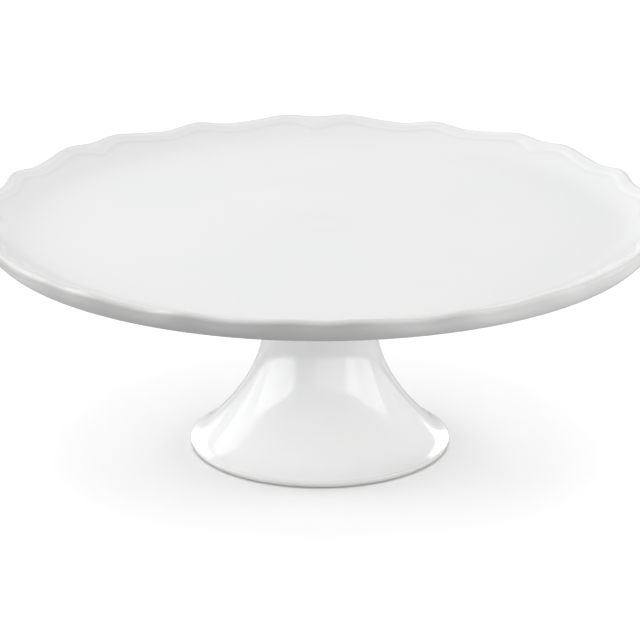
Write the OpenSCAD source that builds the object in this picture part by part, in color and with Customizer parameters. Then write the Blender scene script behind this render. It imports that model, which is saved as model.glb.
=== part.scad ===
// Footed porcelain cake stand, built of its three fired pieces: a scalloped plate, a hollow
// pedestal, and the ring of joining slip that bonds one to the other.
// +Z is up. The origin is the centre of the foot, on the surface that the stand rests on.

/* [Plate] */
// Diameter over the tallest scallops
plate_d = 304.8; // [280:0.2:330]
// Height of the rim's edge, midway between scallop crests and troughs
rim_h = 109.6; // [105:0.1:125]
// Depth of the flat well below that edge
well_depth = 7.1; // [6.5:0.1:8]
// Thickness of the plate under the well
plate_t = 6; // [5:0.1:7]
// Width of the cove that curves up from the well to the rim's raised band
cove_w = 22; // [18:0.5:26]
// Steepness of the cove where it meets the band
cove_angle = 20; // [16:1:22]
// Height of the outer wall, from the rim's edge to the underside of the lower edge
wall_h = 10.2; // [9:0.1:11]
// How far the lower edge lies in from the rim's edge
wall_lean = 3.4; // [2:0.1:5]
// Rounding of the plate's lower edge
edge_r = 3; // [2:0.1:4]

/* [Scalloped rim] */
// Number of times that the scallop pattern repeats round the rim
lobes = 8; // [6:1:10]
// How far a full-strength scallop pushes the edge outwards
scallop_reach = 1.25; // [0.2:0.05:1.6]
// How far a full-strength scallop lifts the edge
scallop_lift = 1; // [0.2:0.05:1.6]
// Width of the raised band that follows the edge
band_w = 6.6; // [5.5:0.1:8]
// How far the band falls on its way in from the edge
band_drop = 2.2; // [2:0.1:2.4]
// Radius of the rolled edge
lip_r = 1.8; // [1.2:0.1:2]
// Width and height of the small step inside the band
step = 0.8; // [0.6:0.1:1.3]
// How far a full-strength scallop pushes the band's inner border outwards
border_reach = 1.8; // [0:0.1:2]
// How far the band runs in to a point between each pair of twin scallops
hook_reach = 3; // [0:0.1:4]

/* [Pedestal] */
// Largest diameter of the foot
foot_d = 116.8; // [108:0.2:130]
// Narrowest diameter of the neck
neck_d = 51; // [48:0.5:58]
// Height of the narrowest place
neck_h = 56; // [52:0.5:60]
// Wall thickness of the hollow pedestal
pedestal_t = 5; // [4:0.1:6]
// Width of the unglazed ring that the stand rests on
rest_w = 3.6; // [3:0.1:4.5]
// Diameter of the collar under the plate
collar_d = 70; // [66:0.5:76]

/* [Joint] */
// Thickness of the joining slip between the collar and the plate
slip_t = 1; // [0.6:0.1:1.4]
// Height of the ring under the plate that centres the collar
spigot_h = 3; // [2:0.1:3.5]
// Width of the outer fillet of slip under the plate
fillet_w = 6; // [4:0.5:8]

/* [Hidden] */
$fn = 180;

// The scallop wave: strengths of its harmonics, and how often each one turns in a repeat
wave_strength = [0.6, 0.33, -0.6, -0.15];
wave_order = [1, 2, 3, 5];
repeat = 360 / lobes; // angle that one repeat takes
wave_crest = max([for (share = [0:0.005:1]) wave(share * repeat)]);
hook_half = repeat / 7; // the hook fades out within this angle to each side
lobe_steps = 24; // facets of the rim in one repeat

// Plate
mean_r = plate_d / 2 - scallop_reach * wave_crest;
well_z = rim_h - well_depth;
well_r = mean_r - band_w - step - cove_w;
border = [mean_r - band_w - step, rim_h - band_drop - step]; // mean inner border of the band
flare = [1, tan(cove_angle)]; // direction in which the top of the cove runs straight
flare_foot = border - (hook_reach + border_reach) * flare;
cove_bend = [max(well_r, border.x - (border.y - well_z) / flare.y), well_z];
foot_share = 0.7; // share of the way to the bend that each handle of the cove reaches
flare_share = 0.85;
under_z = well_z - plate_t;
under_r = well_r + 4; // where the underside starts to rise to the lower edge
lip_from = 130; // the rolled edge starts on the band, facing in and up
wall_top = -12; // under it the outer wall faces out and a little down, by this angle
wall_foot = -50; // and swells until it faces this way above the lower edge
wall_pull = 2.9; // handles of the wall's curve
edge_to = -75; // the lower edge rounds under to this angle
core_r = well_r - 2; // radius of the plate's round core, inside the rim
overlap = 6; // how deep the rim runs into that core

// Joint
joint_gap = 0.8; // slip between the centring ring and the collar's socket
socket_h = spigot_h + slip_t;
collar_r = collar_d / 2;
collar_z = under_z - slip_t;
collar_h = 3; // straight outside of the collar, which the fillet covers
collar_wall = 4;
socket_r = collar_r - collar_wall;
spigot_r = socket_r - joint_gap;
spigot_w = 4;
chamfer = 0.5;
fillet_rise = 2.4; // handle of the fillet along the collar
fillet_run = 3; // and along the underside of the plate

// Pedestal: the pulls are the lengths of the handles of its curves
neck_r = neck_d / 2;
neck_pull = 17;
collar_pull = 10.3;
collar_angle = 61;
foot_r = foot_d / 2;
flare_end = [foot_r - 8, 8.6];
flare_angle = 44;
flare_pull = 19.5;
shoulder_pull = 8;
foot_z = 2.6; // height of the foot's widest place
rest_r = foot_r - 2.4;
edge_pull = 1;
curve_steps = 14;

function polar(angle) = [cos(angle), sin(angle)];

function bezier(a, b, c, d, n) = [
    for (i = [0:n])
        let (t = i / n, s = 1 - t)
            s * s * s * a + 3 * t * s * s * b + 3 * t * t * s * c + t * t * t * d
];

function arc(centre, r, from, to, n) =
    [for (i = [0:n]) centre + r * polar(from + (to - from) * i / n)];

function tail(list) = [for (i = [1:len(list) - 1]) list[i]];

function inner(list) = [for (i = [1:len(list) - 2]) list[i]];

function reversed(list) = [for (i = [len(list) - 1:-1:0]) list[i]];

// The same curve moved sideways by distance d, to the right of its direction of travel
function beside(curve, d) = [
    for (i = [0:len(curve) - 1])
        let (along = curve[min(i + 1, len(curve) - 1)] - curve[max(i - 1, 0)])
            curve[i] + d / norm(along) * [along.y, -along.x]
];

// Strength of the scallop at angle a: twin crests at each repeat and a single one between
function wave(a, i = 0) =
    i == len(wave_order) ? 0 : wave_strength[i] * cos(wave_order[i] * lobes * a) + wave(a, i + 1);

// 1 midway between twin crests, falling to 0 to each side
function hook(a) =
    let (off = abs(a - repeat * round(a / repeat)))
        pow(max(0, 1 - off / hook_half), 2);

// The cove, from the edge of the flat well up to where it runs straight
function cove_curve() =
    let (foot = [well_r, well_z])
        bezier(
            foot,
            foot + foot_share * (cove_bend - foot),
            flare_foot + flare_share * (cove_bend - flare_foot),
            flare_foot,
            5
        );

// The outer wall, which swells a little on its way down and in
function wall_curve(top, foot) =
    bezier(
        top,
        top + wall_pull * polar(wall_top - 90),
        foot - wall_pull * polar(wall_foot - 90),
        foot,
        3
    );

// The rim's cross-section at angle a, as radius and height: from the well out over the edge
// and back under the plate
function rim_section(a) =
    let (
        edge = [mean_r, rim_h] + wave(a) * [scallop_reach, scallop_lift],
        lip = edge - [lip_r, lip_r],
        cove_top = border + (wave(a) * border_reach - hook(a) * hook_reach) * flare,
        low_edge = [mean_r - wall_lean - edge_r, rim_h - wall_h + edge_r]
    )
    concat(
        [[core_r - overlap, well_z]],
        cove_curve(),
        [cove_top, cove_top + [step, step]],
        arc(lip, lip_r, lip_from, wall_top, 5),
        inner(wall_curve(lip + lip_r * polar(wall_top), low_edge + edge_r * polar(wall_foot))),
        arc(low_edge, edge_r, wall_foot, edge_to, 2),
        [[under_r, under_z], [core_r - overlap, under_z]]
    );

// A closed ring of cross-sections, all with equally many points
module rim(count) {
    sections = [for (i = [0:count - 1]) rim_section(i * 360 / count)];
    n = len(sections[0]);
    points = [
        for (i = [0:count - 1])
            for (p = sections[i]) [p.x * cos(i * 360 / count), p.x * sin(i * 360 / count), p.y]
    ];
    faces = [
        for (i = [0:count - 1], k = [0:n - 1])
            let (
                here = i * n + k,
                up = i * n + (k + 1) % n,
                next = (i + 1) % count * n + k,
                next_up = (i + 1) % count * n + (k + 1) % n
            )
                each [[here, next_up, up], [here, next, next_up]]
    ];
    polyhedron(points = points, faces = faces);
}

// The outside of the neck, from under the collar down to its narrowest place
function neck_curve() =
    let (top = [collar_r, collar_z - collar_h])
        bezier(
            top,
            top - collar_pull * polar(collar_angle),
            [neck_r, neck_h + neck_pull],
            [neck_r, neck_h],
            curve_steps
        );

// From the narrowest place down to the shoulder of the foot
function flare_curve() =
    bezier(
        [neck_r, neck_h],
        [neck_r, neck_h - neck_pull],
        flare_end - flare_pull * polar(-flare_angle),
        flare_end,
        curve_steps
    );

// Over the shoulder, round the foot's edge and in to the ring that it rests on
function foot_curve() =
    concat(
        bezier(
            flare_end,
            flare_end + shoulder_pull * polar(-flare_angle),
            [foot_r, foot_z + edge_pull],
            [foot_r, foot_z],
            6
        ),
        tail(bezier([foot_r, foot_z], [foot_r, edge_pull], [rest_r + edge_pull, 0], [rest_r, 0], 5))
    );

// The low ring under the plate that sits in the collar's socket
module spigot() {
    low = under_z - spigot_h;
    rotate_extrude()
        polygon([
            [spigot_r, under_z + plate_t / 2],
            [spigot_r, low + chamfer],
            [spigot_r - chamfer, low],
            [spigot_r - spigot_w + chamfer, low],
            [spigot_r - spigot_w, low + chamfer],
            [spigot_r - spigot_w, under_z + plate_t / 2]
        ]);
}

module plate() {
    color("white") {
        rim(lobes * lobe_steps);
        translate([0, 0, under_z]) cylinder(h = plate_t, r = core_r);
        spigot();
    }
}

module pedestal() {
    outside = concat(neck_curve(), tail(flare_curve()), tail(foot_curve()));
    hollow = beside(concat(neck_curve(), tail(flare_curve())), pedestal_t);
    color("white")
        difference() {
            rotate_extrude()
                polygon(concat(
                    [[hollow[0].x, collar_z], [collar_r, collar_z]],
                    outside,
                    [[rest_r - rest_w, 0]],
                    reversed(hollow)
                ));
            translate([0, 0, collar_z - socket_h]) cylinder(h = socket_h + 1, r = socket_r);
        }
}

module joining_slip() {
    fillet_foot = [collar_r, collar_z - collar_h];
    fillet_top = [collar_r + fillet_w, under_z];
    low = collar_z - socket_h / 2;
    color("whitesmoke")
        rotate_extrude()
            polygon(concat(
                bezier(
                    fillet_foot,
                    fillet_foot + fillet_rise * polar(collar_angle),
                    fillet_top - [fillet_run, 0],
                    fillet_top,
                    8
                ),
                [
                    [spigot_r, under_z],
                    [spigot_r, low],
                    [socket_r, low],
                    [socket_r, collar_z],
                    [collar_r, collar_z]
                ]
            ));
}

plate();
pedestal();
joining_slip();
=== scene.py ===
import math

import bpy
import numpy as np
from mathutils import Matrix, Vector

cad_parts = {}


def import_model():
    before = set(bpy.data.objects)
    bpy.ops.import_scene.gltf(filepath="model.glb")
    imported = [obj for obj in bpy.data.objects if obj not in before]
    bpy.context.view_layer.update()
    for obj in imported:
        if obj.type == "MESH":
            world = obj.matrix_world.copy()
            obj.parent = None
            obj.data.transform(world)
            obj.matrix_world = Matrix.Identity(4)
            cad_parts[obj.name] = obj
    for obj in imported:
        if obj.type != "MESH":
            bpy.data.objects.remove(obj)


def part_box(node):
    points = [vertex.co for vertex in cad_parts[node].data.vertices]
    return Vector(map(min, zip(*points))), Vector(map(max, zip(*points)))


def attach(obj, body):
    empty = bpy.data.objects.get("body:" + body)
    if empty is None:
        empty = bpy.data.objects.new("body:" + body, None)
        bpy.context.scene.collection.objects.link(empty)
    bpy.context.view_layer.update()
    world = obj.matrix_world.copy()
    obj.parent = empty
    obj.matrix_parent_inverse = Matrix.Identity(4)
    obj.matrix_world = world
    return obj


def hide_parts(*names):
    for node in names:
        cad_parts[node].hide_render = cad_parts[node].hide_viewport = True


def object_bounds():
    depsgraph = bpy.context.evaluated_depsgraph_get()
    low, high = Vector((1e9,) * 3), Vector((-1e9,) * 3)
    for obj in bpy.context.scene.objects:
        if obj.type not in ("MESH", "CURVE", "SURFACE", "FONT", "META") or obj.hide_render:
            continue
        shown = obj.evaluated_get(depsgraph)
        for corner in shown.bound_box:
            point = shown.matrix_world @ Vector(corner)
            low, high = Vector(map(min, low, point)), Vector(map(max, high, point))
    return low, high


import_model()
cad_low, cad_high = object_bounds()

MM = 0.001

# Camera: long lens, a little above the plate
CAMERA_AZIMUTH = -0.72
CAMERA_ELEVATION = 19.24
CAMERA_REACH = 1.564
CAMERA_LENS = 196.9
SENSOR_WIDTH = 36
AIM_HEIGHT = 0.523  # share of the stand's height

# Scalloped rim: strength of each harmonic of the wave, by how often it turns in a repeat
LOBES = 8
WAVE = {1: 0.6, 2: 0.33, 3: -0.6, 5: -0.15}
SCALLOP_REACH = 1.25 * MM
SCALLOP_LIFT = 1.0 * MM
BORDER_REACH = 1.8 * MM  # wave of the band's inner border
HOOK_REACH = 3 * MM  # how far that border runs in to a point between twin crests
HOOK_SHARE = 1 / 7  # share of a repeat in which a hook fades out

# Plate
WELL_DEPTH = 7.1 * MM
COVE_WIDTH = 22 * MM
COVE_ANGLE = 20
COVE_FOOT_SHARE = 0.7  # how far the handles of the cove's curve reach towards its bend
COVE_FLARE_SHARE = 0.85
BAND_WIDTH = 6.6 * MM
BAND_DROP = 2.2 * MM
BAND_CROWN = 0.4 * MM  # how far the handles of the band's curve rise above it
STEP = 0.8 * MM
STEP_SOFTENING = 14  # passes that round the band and its step
RIM_SOFTENING = 4  # and then everything from the well to the underside
LIP_RADIUS = 1.8 * MM
LIP_START = 130  # the rolled edge starts on the band, facing in and up
WALL_HEIGHT = 10.2 * MM
WALL_LEAN = 3.4 * MM
WALL_TOP_FACING = -12  # degrees above level that the wall faces, at its top
WALL_FOOT_FACING = -50  # and above the lower edge
WALL_PULL = 2.9 * MM
LOW_EDGE_RADIUS = 3 * MM
LOW_EDGE_END = -75  # the lower edge rounds under to this angle
UNDERSIDE_OUT = 4 * MM  # how far beyond the well the underside starts to rise to that edge
UPPER_SIDE_FROM = 2 * MM  # what is this far above the underside belongs to the upper side
WELL_RING_RADIUS = 62 * MM
WELL_RING_RISE = 0.3 * MM
WELL_RING_START = 0.8  # share of that radius at which the rise starts to fade
WELL_RING_FADE = 0.4  # and over how much of it
PLATE_SPOKES = 960

# Joint under the plate
SPIGOT_HEIGHT = 3 * MM
SPIGOT_RADIUS = 30.2 * MM
SPIGOT_WIDTH = 4 * MM
SPIGOT_CHAMFER = 0.5 * MM
SOCKET_RADIUS = 31 * MM
SOCKET_DEPTH = 4 * MM
COLLAR_HEIGHT = 3 * MM
COLLAR_ANGLE = 61
FILLET_WIDTH = 6 * MM
FILLET_RISE = 2.4 * MM  # handle of the fillet along the collar
FILLET_RUN = 3 * MM  # and along the underside of the plate

# Pedestal
NECK_RADIUS = 25.5 * MM
NECK_HEIGHT = 56 * MM
NECK_PULL = 17 * MM
COLLAR_PULL = 10.3 * MM
PEDESTAL_THICKNESS = 5 * MM
SHOULDER_IN = 8 * MM
SHOULDER_HEIGHT = 8.6 * MM
SHOULDER_PULL = 8 * MM
FLARE_ANGLE = 44
FLARE_PULL = 19.5 * MM
FOOT_HEIGHT = 2.6 * MM
REST_IN = 2.4 * MM
REST_WIDTH = 3.6 * MM
EDGE_PULL = 1 * MM  # handle of the foot's rounded edge
PEDESTAL_SPOKES = 480

# Glaze
GLAZE_IOR = 1.5
GLAZE_ROUGHNESS = (0.07, 0.13)
GLAZE_COOL = (0.790, 0.794, 0.796, 1)  # clouds of a cooler and a warmer white
GLAZE_WARM = (0.812, 0.811, 0.807, 1)
GLAZE_POOLED_CREASE_SHADE = (0.60, 0.605, 0.61, 1)  # where it lies thick in hollows; the grey is also painted shade in creases and at the step
GLAZE_THIN_EDGE_SHADE = (0.70, 0.697, 0.69, 1)  # where it draws back from an edge; the grey is also painted shade along convex edges
POOLING_SHADE_RADIUS = 2 * MM  # a hollow of this radius fills with glaze and takes the full painted shade
POOLING_SHADE_PASSES = 3
POOLING_SHADE_SPACING = 0.05 * MM  # points count as at least this far apart
POOLING_SHADE_FLAT = 0.5  # pooling and painted shade on a flat surface
FLOW_DEPTH = 0.03 * MM
PEEL_DEPTH = 0.0015 * MM
MARK_PITCH = 5.5 * MM
MARK_DEPTH = 0.02 * MM
MARK_WANDER = 4 * MM
BARE_HEIGHT = 0.35 * MM  # the foot was wiped clean of glaze up to here
BARE_RAGGED = 0.5 * MM
BARE_EDGE = 0.1 * MM
BISCUIT_DARK = (0.66, 0.64, 0.60, 1)
BISCUIT_LIGHT = (0.80, 0.78, 0.74, 1)
BISCUIT_ROUGHNESS = (0.75, 0.95)
BISCUIT_GRAIN = 0.02 * MM

# Noise scales, from coarse to fine, and the span that most of a noise's values lie in
CLOUD_SCALE = 11.0
WANDER_SCALE = 14.0
FLOW_SCALE = 34.0
SMEAR_SCALE = 46.0
RAGGED_SCALE = 160.0
PEEL_SCALE = 620.0
GRAIN_SCALE = 2600.0
NOISE_SPAN = (0.3, 0.7)
GRAIN_SPAN = (0.2, 0.8)

# Stage, with lengths in metres
STAGE_REACH = 4  # half the width of the floor and of the white card under it
WHITE_GREY = 0.85
WHITE_CARD_HEIGHT = -2 * MM
BLACK_GREY = 0.02
BLACK_CARD_HEIGHT = -1 * MM
BLACK_CARD_REACH = 2
OPENING_LEFT = -0.24  # the black cards leave a rectangle open round the foot
OPENING_RIGHT = 0.5
OPENING_FRONT = -0.24
OPENING_BACK = 0.3
BACKDROP_RADIUS = 4
BACKDROP_FOOT = -0.1
BACKDROP_TOP = 3
BACKDROP_SIDES = 64
WORLD_STRENGTH = 0.67
STAND_LIGHT_REACH = 1.6  # from the middle of the stand to a softbox
FLOOR_LIGHT_REACH = 2.2
OVERHEAD_REACH = 3.4


def polar(angle):
    """Unit vector at an angle in degrees."""
    turned = math.radians(angle)
    return np.array([math.cos(turned), math.sin(turned)])


def bezier(a, b, c, d, count):
    """Points along a cubic curve, after its start up to its end."""
    t = np.linspace(0, 1, count + 1)[1:, None]
    a, b, c, d = (np.asarray(p)[..., None, :] for p in (a, b, c, d))
    return (1 - t) ** 3 * a + 3 * t * (1 - t) ** 2 * b + 3 * t**2 * (1 - t) * c + t**3 * d


def line(a, b, count):
    """Points along a straight line, after its start up to its end."""
    a, b = np.asarray(a), np.asarray(b)
    return bezier(a, a + (b - a) / 3, b - (b - a) / 3, b, count)


def arc(centre, radius, start, end, count):
    """Points along an arc, both ends included, with angles in degrees."""
    turned = np.radians(np.linspace(start, end, count + 1))
    round_points = radius * np.stack([np.cos(turned), np.sin(turned)], -1)
    return np.asarray(centre)[..., None, :] + round_points


def softened(points, passes):
    """The same curves with their corners rounded. The ends stay."""
    points = points.copy()
    for _ in range(passes):
        points[..., 1:-1, :] = (
            points[..., :-2, :] + 2 * points[..., 1:-1, :] + points[..., 2:, :]
        ) / 4
    return points


def joined(parts):
    """One curve from parts, each of which may be the same at every spoke."""
    spokes = max(p.shape[0] if p.ndim == 3 else 1 for p in parts)
    full = [np.broadcast_to(p, (spokes,) + p.shape[-2:]) for p in parts]
    return np.concatenate(full, axis=1)


def mesh_from(name, points, faces):
    """A smooth-shaded object from vertex and face lists."""
    mesh = bpy.data.meshes.new(name)
    mesh.from_pydata(points, [], faces)
    mesh.validate()
    mesh.shade_smooth()
    piece = bpy.data.objects.new(name, mesh)
    bpy.context.scene.collection.objects.link(piece)
    return piece


def turned_piece(name, sections, spokes, closed):
    """A piece of revolution. sections holds radius and height for each spoke and point.

    A closed section makes a ring. An open one runs from the axis to the axis.
    """
    sections = np.broadcast_to(sections, (spokes,) + sections.shape[-2:])
    # glaze pooling, and painted shade in creases and along edges, for each point
    pooling_shade_level = pooling_and_shade(sections)
    poles = []
    if not closed:
        poles = [(0, 0, sections[0, 0, 1]), (0, 0, sections[0, -1, 1])]
        sections = sections[:, 1:-1]
        pooling_shade_level = pooling_shade_level[:, 1:-1]
    count = sections.shape[1]
    turn = np.linspace(0, 2 * math.pi, spokes, endpoint=False)[:, None]
    radius, height = sections[..., 0], sections[..., 1]
    grid = np.stack([radius * np.cos(turn), radius * np.sin(turn), height], -1)
    points = grid.reshape(-1, 3).tolist() + poles
    faces = []
    for i in range(spokes):
        here, there = i * count, (i + 1) % spokes * count
        for k in range(count if closed else count - 1):
            up = (k + 1) % count
            faces.append((here + k, here + up, there + up, there + k))
        if not closed:
            top, bottom = spokes * count, spokes * count + 1
            faces.append((top, here, there))
            faces.append((bottom, there + count - 1, here + count - 1))
    piece = mesh_from(name, points, faces)
    values = pooling_shade_level.ravel().tolist() + [POOLING_SHADE_FLAT] * len(poles)
    piece.data.attributes.new("pooling_and_shade", "FLOAT", "POINT").data.foreach_set("value", values)
    return piece


# ---------------------------------------------------------------- plate


def wave(turn):
    """Strength of the scallop: twin crests at each repeat and a single one between."""
    return sum(strength * np.cos(order * LOBES * turn) for order, strength in WAVE.items())


def hook(turn):
    """1 midway between twin crests, where the band runs in to a point, falling to 0 beside it."""
    repeat = 2 * math.pi / LOBES
    off = np.abs(turn - repeat * np.round(turn / repeat))
    return np.clip(1 - off / (HOOK_SHARE * repeat), 0, None) ** 2


def spread(radius, height):
    """Radius and height arrays as points."""
    return np.stack(np.broadcast_arrays(radius, height), -1)


def rim_mean(turn):
    """Radius and height of the rim's edge midway between crests and troughs, from the CAD box."""
    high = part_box("plate")[1]
    crest = wave(turn)
    beyond = np.max((high.x + SCALLOP_REACH * crest) * np.cos(turn)) - high.x
    return high.x - beyond, high.z - SCALLOP_LIFT * crest.max()


def cove_and_shelf(turn, border, cove_foot, lip_start):
    """The cove, and outside it the step and the band, up to the start of the rolled edge."""
    flare = np.array([1, math.tan(math.radians(COVE_ANGLE))])
    shift = BORDER_REACH * wave(turn) - HOOK_REACH * hook(turn)
    cove_top = border + shift[:, None] * flare
    band_foot = cove_top + STEP
    band_middle = (band_foot + lip_start) / 2 + [0, BAND_CROWN]
    flare_foot = border - (HOOK_REACH + BORDER_REACH) * flare
    cove_bend = border - (border[1] - cove_foot[1]) / flare[1] * flare
    cove = bezier(
        cove_foot,
        cove_foot + COVE_FOOT_SHARE * (cove_bend - cove_foot),
        flare_foot + COVE_FLARE_SHARE * (cove_bend - flare_foot),
        flare_foot,
        14,
    )
    straight = line(flare_foot, cove_top, 8)
    step = line(cove_top, band_foot, 5)
    band = bezier(band_foot, band_middle, band_middle, lip_start, 12)[:, :-1]
    shelf = softened(joined([straight, step, band]), STEP_SOFTENING)
    return joined([cove, shelf])


def edge_and_wall(lip, low_edge):
    """The rolled edge, the wall that swells on its way down, and the rounded lower edge."""
    edge_arc = arc(lip, LIP_RADIUS, LIP_START, WALL_TOP_FACING, 12)
    low_arc = arc(low_edge, LOW_EDGE_RADIUS, WALL_FOOT_FACING, LOW_EDGE_END, 6)
    wall_top, wall_foot = edge_arc[:, -1], low_arc[0]
    wall = bezier(
        wall_top,
        wall_top + WALL_PULL * polar(WALL_TOP_FACING - 90),
        wall_foot - WALL_PULL * polar(WALL_FOOT_FACING - 90),
        wall_foot,
        10,
    )[:, :-1]
    return joined([edge_arc, wall, low_arc])


def plate_sections():
    """The plate's cross-section at each spoke, from the middle of the well round to below it.

    The last value of each curve is how many points it is drawn with.
    """
    turn = np.linspace(0, 2 * math.pi, PLATE_SPOKES, endpoint=False)
    crest = wave(turn)
    mean_radius, rim_height = rim_mean(turn)
    well_radius = mean_radius - BAND_WIDTH - STEP - COVE_WIDTH
    well_z = rim_height - WELL_DEPTH
    under_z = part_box("plate")[0].z + SPIGOT_HEIGHT
    under_edge = [well_radius + UNDERSIDE_OUT, under_z]
    lip = spread(mean_radius + SCALLOP_REACH * crest, rim_height + SCALLOP_LIFT * crest) - LIP_RADIUS
    lip_start = lip + LIP_RADIUS * polar(LIP_START)
    border = np.array([mean_radius - BAND_WIDTH, rim_height - BAND_DROP]) - STEP
    low_edge_radius = mean_radius - WALL_LEAN - LOW_EDGE_RADIUS
    low_edge = np.array([low_edge_radius, rim_height - WALL_HEIGHT + LOW_EDGE_RADIUS])

    well = line([0, well_z], [well_radius, well_z], 12)
    upper = cove_and_shelf(turn, border, np.array([well_radius, well_z]), lip_start)
    outer = edge_and_wall(lip, low_edge)
    under = line(outer[:, -1], under_edge, 7)
    rim = softened(joined([well, upper, outer, under]), RIM_SOFTENING)
    flat = line(under_edge, [SPIGOT_RADIUS, under_z], 8)
    middle = line([SPIGOT_RADIUS - SPIGOT_WIDTH, under_z], [0, under_z], 4)
    return joined([np.array([[0, well_z]]), rim, flat, spigot_profile(under_z), middle])


def spigot_profile(under_z):
    """The low ring under the plate that centres the collar, from its outside to its inside."""
    low = under_z - SPIGOT_HEIGHT
    inner = SPIGOT_RADIUS - SPIGOT_WIDTH
    corners = [
        [SPIGOT_RADIUS, low + SPIGOT_CHAMFER],
        [SPIGOT_RADIUS - SPIGOT_CHAMFER, low],
        [inner + SPIGOT_CHAMFER, low],
        [inner, low + SPIGOT_CHAMFER],
        [inner, under_z],
    ]
    return np.array(corners)


def upper_side_height():
    """A height inside the plate, above its underside and below its well."""
    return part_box("plate")[0].z + SPIGOT_HEIGHT + UPPER_SIDE_FROM


def add_well_ring(piece):
    """The faintly raised middle of the well, where the plate has settled round its pedestal."""
    upper_side = upper_side_height()
    for vertex in piece.data.vertices:
        x, y, z = vertex.co
        share = math.hypot(x, y) / WELL_RING_RADIUS
        t = min(max((share - WELL_RING_START) / WELL_RING_FADE, 0), 1)
        if z > upper_side:
            vertex.co.z += WELL_RING_RISE * (1 - t * t * (3 - 2 * t))


def plate():
    piece = turned_piece("plate_porcelain", plate_sections(), PLATE_SPOKES, closed=False)
    add_well_ring(piece)
    piece.data.materials.append(glaze("plate_glaze", marked_below=upper_side_height()))
    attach(piece, "root")
    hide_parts("plate")
    return piece


# ---------------------------------------------------------------- pedestal and joint


def offset(curve, distance):
    """The same curve moved sideways, to the right of its direction of travel."""
    along = np.gradient(curve, axis=0)
    along /= np.linalg.norm(along, axis=1)[:, None]
    return curve + distance * np.stack([along[:, 1], -along[:, 0]], -1)


def throat_curve(collar_foot, shoulder):
    """The outside, from under the collar over the narrowest place to the foot's shoulder."""
    neck = np.array([NECK_RADIUS, NECK_HEIGHT])
    pull = np.array([0, NECK_PULL])
    collar_handle = collar_foot - COLLAR_PULL * polar(COLLAR_ANGLE)
    shoulder_handle = shoulder - FLARE_PULL * polar(-FLARE_ANGLE)
    collar_to_neck = bezier(collar_foot, collar_handle, neck + pull, neck, 30)
    neck_to_shoulder = bezier(neck, neck - pull, shoulder_handle, shoulder, 40)
    return np.concatenate([collar_foot[None], collar_to_neck, neck_to_shoulder])


def foot_curve(shoulder, foot, rest):
    """Over the shoulder, round the foot's edge and in to the ring that the stand rests on."""
    shoulder_handle = shoulder + SHOULDER_PULL * polar(-FLARE_ANGLE)
    over = bezier(shoulder, shoulder_handle, foot + [0, EDGE_PULL], foot, 14)
    round_under = bezier(foot, foot - [0, FOOT_HEIGHT - EDGE_PULL], rest + [EDGE_PULL, 0], rest, 10)
    return np.concatenate([over, round_under])


def pedestal_section():
    """The pedestal's cross-section: down the outside, under the foot and up the hollow."""
    low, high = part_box("pedestal")
    collar_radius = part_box("joining_slip")[1].x - FILLET_WIDTH
    shoulder = np.array([high.x - SHOULDER_IN, SHOULDER_HEIGHT])
    foot = np.array([high.x, FOOT_HEIGHT])
    rest = np.array([high.x - REST_IN, low.z])
    rest_inside = rest - [REST_WIDTH, 0]
    socket_floor = high.z - SOCKET_DEPTH
    throat = throat_curve(np.array([collar_radius, high.z - COLLAR_HEIGHT]), shoulder)
    hollow = offset(throat, PEDESTAL_THICKNESS)[::-1]
    hollow = hollow[hollow[:, 1] < socket_floor]
    collar = [
        [hollow[-1][0], socket_floor],
        [SOCKET_RADIUS, socket_floor],
        [SOCKET_RADIUS, high.z],
        [collar_radius, high.z],
    ]
    return np.concatenate(
        [
            throat,
            foot_curve(shoulder, foot, rest),
            line(rest, rest_inside, 3),
            line(rest_inside, hollow[0], 2),
            hollow[1:],
            np.array(collar),
        ]
    )


def pedestal():
    piece = turned_piece("pedestal_porcelain", pedestal_section(), PEDESTAL_SPOKES, closed=True)
    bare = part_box("pedestal")[0].z + BARE_HEIGHT
    piece.data.materials.append(glaze("pedestal_glaze", bare_below=bare))
    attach(piece, "root")
    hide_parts("pedestal")
    return piece


def slip_section():
    """The ring of slip between the collar and the plate, with its fillet outside."""
    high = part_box("joining_slip")[1]
    collar_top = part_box("pedestal")[1].z
    collar_radius = high.x - FILLET_WIDTH
    foot = np.array([collar_radius, collar_top - COLLAR_HEIGHT])
    top = np.array([high.x, high.z])
    fillet = bezier(foot, foot + FILLET_RISE * polar(COLLAR_ANGLE), top - [FILLET_RUN, 0], top, 16)
    inside = [
        [SPIGOT_RADIUS, high.z],
        [SPIGOT_RADIUS, collar_top - SOCKET_DEPTH / 2],
        [SOCKET_RADIUS, collar_top - SOCKET_DEPTH / 2],
        [SOCKET_RADIUS, collar_top],
        [collar_radius, collar_top],
    ]
    return np.concatenate([foot[None], fillet, np.array(inside)])


def joining_slip():
    piece = turned_piece("joint_slip", slip_section()[::-1], PEDESTAL_SPOKES, closed=True)
    piece.data.materials.append(glaze("joint_glaze"))
    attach(piece, "root")
    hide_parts("joining_slip")
    return piece


# ---------------------------------------------------------------- materials


def feed(tree, socket, value):
    """Sets an input to a value, or links another node's output to it."""
    if isinstance(value, bpy.types.NodeSocket):
        tree.links.new(value, socket)
    else:
        socket.default_value = value


def add(tree, kind, settings=(), **inputs):
    """A node with its inputs set, each to a value or to another node's output."""
    made = tree.nodes.new("ShaderNode" + kind)
    for name, value in dict(settings).items():
        setattr(made, name, value)
    for name, value in inputs.items():
        feed(tree, made.inputs[name.replace("_", " ")], value)
    return made


def combined(tree, operation, a, b):
    """A Math node's result."""
    made = add(tree, "Math", {"operation": operation})
    feed(tree, made.inputs[0], a)
    feed(tree, made.inputs[1], b)
    return made.outputs[0]


def ranged(tree, value, source, target):
    """A value mapped from one range to another, and held inside it."""
    made = add(
        tree,
        "MapRange",
        Value=value,
        From_Min=source[0],
        From_Max=source[1],
        To_Min=target[0],
        To_Max=target[1],
    )
    return made.outputs["Result"]


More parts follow.
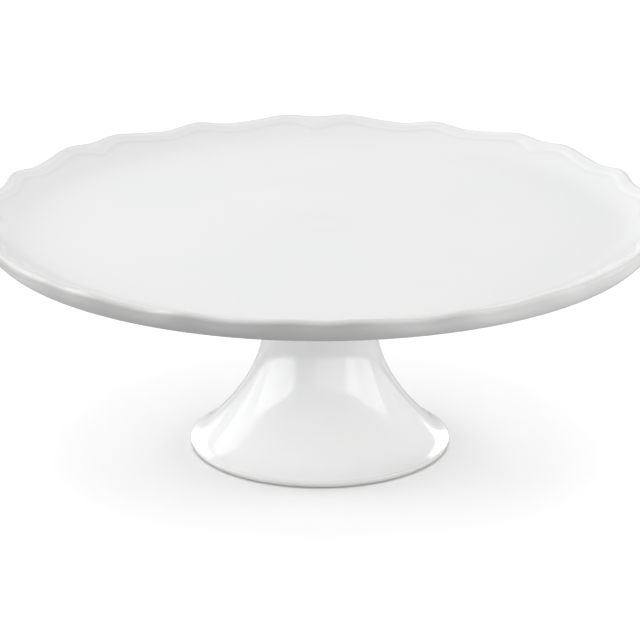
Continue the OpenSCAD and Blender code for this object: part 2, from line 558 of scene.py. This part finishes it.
def mixed(tree, factor, first, second):
    """Two colours mixed. A Mix node's inputs 6 and 7 and its output 2 are the colour ones."""
    made = add(tree, "Mix", {"data_type": "RGBA"})
    for index, value in ((0, factor), (6, first), (7, second)):
        feed(tree, made.inputs[index], value)
    return made.outputs[2]


def noise(tree, place, scale, detail=3.0, roughness=0.5):
    """Smooth noise about 0.5. A larger scale is finer."""
    made = add(tree, "TexNoise", Vector=place, Scale=scale, Detail=detail, Roughness=roughness)
    return made.outputs["Fac"]


def bumped(tree, height, distance, below=None):
    """A bump of the given height in metres, on top of the bump below it."""
    made = add(tree, "Bump", Height=height, Distance=distance, Strength=1.0)
    if below is not None:
        tree.links.new(below, made.inputs["Normal"])
    return made.outputs["Normal"]


def turning_marks(tree, place):
    """Uneven rings about the stand's axis, as a turner's rib leaves them, from 0 to 1."""
    apart = add(tree, "SeparateXYZ", Vector=place)
    flat = add(tree, "CombineXYZ", X=apart.outputs["X"], Y=apart.outputs["Y"])
    radius = add(tree, "VectorMath", {"operation": "LENGTH"}, Vector=flat.outputs[0]).outputs["Value"]
    wander = combined(tree, "MULTIPLY", noise(tree, place, WANDER_SCALE, detail=2.0), MARK_WANDER)
    turns = combined(tree, "MULTIPLY", combined(tree, "ADD", radius, wander), 2 * math.pi / MARK_PITCH)
    return ranged(tree, combined(tree, "SINE", turns, 0.0), (-1, 1), (0, 1))


def glaze_colour(tree, place):
    """Clouded white, greyer where the glaze lies thick and where it draws back from an edge; both
    greys are partly painted shade in creases and along edges.
    """
    pooling_shade_level = add(tree, "Attribute", {"attribute_name": "pooling_and_shade"}).outputs["Fac"]
    cloud = ranged(tree, noise(tree, place, CLOUD_SCALE, detail=4.0), NOISE_SPAN, (0, 1))
    body = mixed(tree, cloud, GLAZE_COOL, GLAZE_WARM)
    # painted shade in hollows and creases, partly real glaze pooling
    pooled_and_shaded = mixed(tree, ranged(tree, pooling_shade_level, (POOLING_SHADE_FLAT, 1), (0, 1)), body, GLAZE_POOLED_CREASE_SHADE)
    # painted shade along convex edges, partly real glaze drawn thin
    return mixed(tree, ranged(tree, pooling_shade_level, (POOLING_SHADE_FLAT, 0), (0, 1)), pooled_and_shaded, GLAZE_THIN_EDGE_SHADE)


def bared(tree, place, height, bare_below, colour, roughness, normal):
    """The colour, roughness and normal given, with bare porcelain below a ragged height."""
    ragged = combined(tree, "MULTIPLY", noise(tree, place, RAGGED_SCALE), BARE_RAGGED)
    level = combined(tree, "SUBTRACT", height, ragged)
    bare = ranged(tree, level, (bare_below - BARE_EDGE, bare_below), (1, 0))
    glazed = combined(tree, "SUBTRACT", 1.0, bare)
    grain = noise(tree, place, GRAIN_SCALE, detail=4.0, roughness=0.7)
    clay = mixed(tree, grain, BISCUIT_DARK, BISCUIT_LIGHT)
    clay_roughness = ranged(tree, grain, GRAIN_SPAN, BISCUIT_ROUGHNESS)
    glazed_part = combined(tree, "MULTIPLY", roughness, glazed)
    bare_part = combined(tree, "MULTIPLY", clay_roughness, bare)
    bare_grain = combined(tree, "MULTIPLY", grain, bare)
    return (
        mixed(tree, bare, colour, clay),
        combined(tree, "ADD", glazed_part, bare_part),
        bumped(tree, bare_grain, BISCUIT_GRAIN, normal),
    )


def glaze(name, marked_below=None, bare_below=None):
    """Glossy clear glaze over white porcelain.

    marked_below is the height under which faint turning marks show through the glaze, and
    bare_below the height under which the foot was wiped clean, so that the body shows.
    """
    material = bpy.data.materials.new(name)
    material.use_nodes = True
    tree = material.node_tree
    shader = tree.nodes["Principled BSDF"]
    place = add(tree, "TexCoord").outputs["Object"]
    height = add(tree, "SeparateXYZ", Vector=place).outputs["Z"]

    colour = glaze_colour(tree, place)
    smears = noise(tree, place, SMEAR_SCALE, detail=5.0, roughness=0.6)
    roughness = ranged(tree, smears, NOISE_SPAN, GLAZE_ROUGHNESS)
    flow = noise(tree, place, FLOW_SCALE, detail=2.0)
    peel = noise(tree, place, PEEL_SCALE, detail=2.0)
    normal = bumped(tree, peel, PEEL_DEPTH, bumped(tree, flow, FLOW_DEPTH))
    if marked_below is not None:
        shown = ranged(tree, height, (marked_below - MM, marked_below), (1, 0))
        marks = combined(tree, "MULTIPLY", turning_marks(tree, place), shown)
        normal = bumped(tree, marks, MARK_DEPTH, normal)
    if bare_below is not None:
        colour, roughness, normal = bared(
            tree, place, height, bare_below, colour, roughness, normal
        )

    tree.links.new(colour, shader.inputs["Base Color"])
    tree.links.new(roughness, shader.inputs["Roughness"])
    tree.links.new(normal, shader.inputs["Normal"])
    shader.inputs["IOR"].default_value = GLAZE_IOR
    return material


def smoothed(values, passes):
    """Values round a closed section, each replaced by the mean of it and its neighbours."""
    for _ in range(passes):
        values = (np.roll(values, 1, -1) + 2 * values + np.roll(values, -1, -1)) / 4
    return values


def pooling_and_shade(sections):
    """How thick the glaze lies at each point, which also sets painted shade: 1 in tight hollows, 0.5
    on flats, 0 on edges.
    """
    before = sections - np.roll(sections, 1, axis=-2)
    after = np.roll(sections, -1, axis=-2) - sections
    cross = before[..., 0] * after[..., 1] - before[..., 1] * after[..., 0]
    dot = np.sum(before * after, axis=-1)
    bend = np.arctan2(cross, dot)
    length = 0.5 * (np.linalg.norm(before, axis=-1) + np.linalg.norm(after, axis=-1))
    curvature = smoothed(bend / np.maximum(length, POOLING_SHADE_SPACING), POOLING_SHADE_PASSES)
    return np.clip(POOLING_SHADE_FLAT * (1 + curvature * POOLING_SHADE_RADIUS), 0, 1)


# ---------------------------------------------------------------- stage


def flat_piece(name, low, high, height, grey):
    """A matt level rectangle, from corner low to corner high."""
    corners = [
        (low[0], low[1], height),
        (high[0], low[1], height),
        (high[0], high[1], height),
        (low[0], high[1], height),
    ]
    piece = mesh_from(name, corners, [(0, 1, 2, 3)])
    material = bpy.data.materials.new(name)
    material.use_nodes = True
    shader = material.node_tree.nodes["Principled BSDF"]
    shader.inputs["Base Color"].default_value = (grey, grey, grey, 1)
    shader.inputs["Roughness"].default_value = 0.9
    shader.inputs["Specular IOR Level"].default_value = 0
    piece.data.materials.append(material)
    return piece


def floor():
    """The white floor that the camera sees."""
    corner = (STAGE_REACH, STAGE_REACH)
    piece = flat_piece("floor", (-STAGE_REACH, -STAGE_REACH), corner, 0, WHITE_GREY)
    piece.visible_diffuse = False
    piece.visible_glossy = False
    piece.visible_shadow = False
    return piece


def card(name, low, high, height, grey):
    """A card outside the camera's sight that sets what the stand is lit by and mirrors from below."""
    piece = flat_piece(name, low, high, height, grey)
    piece.visible_camera = False
    piece.visible_shadow = False


def cards():
    """A white card under the floor and, just above it, black ones round an opening."""
    reach, far = STAGE_REACH, BLACK_CARD_REACH
    card("white_card", (-reach, -reach), (reach, reach), WHITE_CARD_HEIGHT, WHITE_GREY)
    for side, low, high in (
        ("front", (-far, -far), (far, OPENING_FRONT)),
        ("left", (-far, OPENING_FRONT), (OPENING_LEFT, OPENING_BACK)),
        ("right", (OPENING_RIGHT, OPENING_FRONT), (far, OPENING_BACK)),
        ("back", (-far, OPENING_BACK), (far, far)),
    ):
        card("black_card_" + side, low, high, BLACK_CARD_HEIGHT, BLACK_GREY)


def backdrop():
    """A white wall all round, far behind the stand, that only the camera sees."""
    points, faces = [], []
    for i in range(BACKDROP_SIDES):
        turned = 2 * math.pi * i / BACKDROP_SIDES
        x, y = BACKDROP_RADIUS * math.cos(turned), BACKDROP_RADIUS * math.sin(turned)
        points += [(x, y, BACKDROP_FOOT), (x, y, BACKDROP_TOP)]
        here, there = 2 * i, 2 * ((i + 1) % BACKDROP_SIDES)
        faces.append((here, there, there + 1, here + 1))
    piece = mesh_from("backdrop", points, faces)
    material = bpy.data.materials.new("backdrop_white")
    material.use_nodes = True
    shader = material.node_tree.nodes["Principled BSDF"]
    shader.inputs["Base Color"].default_value = (1, 1, 1, 1)
    shader.inputs["Emission Color"].default_value = (1, 1, 1, 1)
    shader.inputs["Emission Strength"].default_value = 1.0
    piece.data.materials.append(material)
    piece.visible_diffuse = False
    piece.visible_glossy = False
    piece.visible_shadow = False


def group(name, pieces):
    """A collection that a light is linked to."""
    members = bpy.data.collections.new(name)
    for piece in pieces:
        members.objects.link(piece)
    return members


def outward(azimuth, elevation):
    """Unit vector away from the stand. Azimuth 0 is on the camera's side, 90 on its right."""
    a, e = math.radians(azimuth), math.radians(elevation)
    return Vector((math.sin(a) * math.cos(e), -math.cos(a) * math.cos(e), math.sin(e)))


def softbox(name, azimuth, elevation, width, height, watts, lit, reach=STAND_LIGHT_REACH):
    """A rectangular light that faces the stand and lights only one group of pieces.

    The calls below give its direction in degrees, its size in metres and its power in watts.
    """
    centre = (cad_low + cad_high) / 2
    back = outward(azimuth, elevation)
    light = bpy.data.lights.new(name, "AREA")
    light.shape = "RECTANGLE"
    light.size = width
    light.size_y = height
    light.energy = watts
    lamp = bpy.data.objects.new(name, light)
    lamp.location = centre + reach * back
    lamp.rotation_euler = (-back).to_track_quat("-Z", "Y").to_euler()
    lamp.visible_camera = False
    lamp.light_linking.receiver_collection = lit
    bpy.context.scene.collection.objects.link(lamp)
    return lamp


def plate_lights(lit):
    """Three low lights, kept out of the glaze's mirror lest the well glare, and two others."""
    low_lights = [
        softbox("plate_left", -114, 12, 2.6, 0.9, 31, lit),
        softbox("plate_right", 75, 14, 1.7, 0.9, 11, lit),
        softbox("plate_front_right", 45, 14, 1.7, 0.9, 4.6, lit),
    ]
    for lamp in low_lights:
        lamp.visible_glossy = False
    softbox("plate_shine", -100, 40, 1.7, 0.6, 6, lit)
    softbox("plate_back", 165, 28, 1.7, 0.9, 0.8, lit)


def pedestal_lights(lit):
    """Softboxes all round, and two from below that stand for light off a white floor."""
    softbox("foot_left", -90, 22, 2.55, 1.35, 15.5, lit)
    softbox("foot_left_key", -75, 14, 1.7, 0.9, 9, lit)
    softbox("foot_front_right", 30, 14, 2.55, 0.9, 10, lit)
    softbox("foot_right", 75, 14, 1.7, 0.9, 10, lit)
    softbox("foot_back", 180, 26, 2.2, 1.2, 24, lit)
    softbox("foot_left_low", -80, -12, 2, 0.6, 6, lit)
    softbox("foot_right_low", 70, -12, 1.2, 0.6, 2, lit)


def floor_lights(lit, shading):
    """A large overhead light, which only the pedestal shades, and three smaller ones."""
    overhead = softbox("floor_overhead", 0, 90, 3.2, 3.2, 97, lit, OVERHEAD_REACH)
    overhead.light_linking.blocker_collection = shading
    softbox("floor_back_left", -120, 15, 2, 0.6, 15, lit, FLOOR_LIGHT_REACH)
    softbox("floor_back_right", 120, 15, 2, 0.6, 9.5, lit, FLOOR_LIGHT_REACH)
    softbox("floor_front", 0, 50, 2, 0.6, 2.4, lit, FLOOR_LIGHT_REACH)


def world():
    bpy.context.scene.world = bpy.data.worlds.new("studio")
    bpy.context.scene.world.use_nodes = True
    background = bpy.context.scene.world.node_tree.nodes["Background"]
    background.inputs["Color"].default_value = (1, 1, 1, 1)
    background.inputs["Strength"].default_value = WORLD_STRENGTH
    bpy.context.scene.view_settings.view_transform = "Standard"


def camera():
    height = cad_high.z - cad_low.z
    aim = Vector((0, 0, cad_low.z + AIM_HEIGHT * height))
    back = outward(CAMERA_AZIMUTH, CAMERA_ELEVATION)
    data = bpy.data.cameras.new("camera")
    data.lens = CAMERA_LENS
    data.sensor_width = SENSOR_WIDTH
    lens = bpy.data.objects.new("camera", data)
    lens.location = aim + CAMERA_REACH * back
    lens.rotation_euler = (-back).to_track_quat("-Z", "Y").to_euler()
    bpy.context.scene.collection.objects.link(lens)
    bpy.context.scene.camera = lens


pieces = [plate(), pedestal(), joining_slip()]
stage_floor = floor()
backdrop()
cards()
plate_group = group("plate_pieces", pieces[:1])
pedestal_group = group("pedestal_pieces", pieces[1:])
floor_group = group("floor_pieces", [stage_floor])
world()
plate_lights(plate_group)
pedestal_lights(pedestal_group)
floor_lights(floor_group, pedestal_group)
camera()
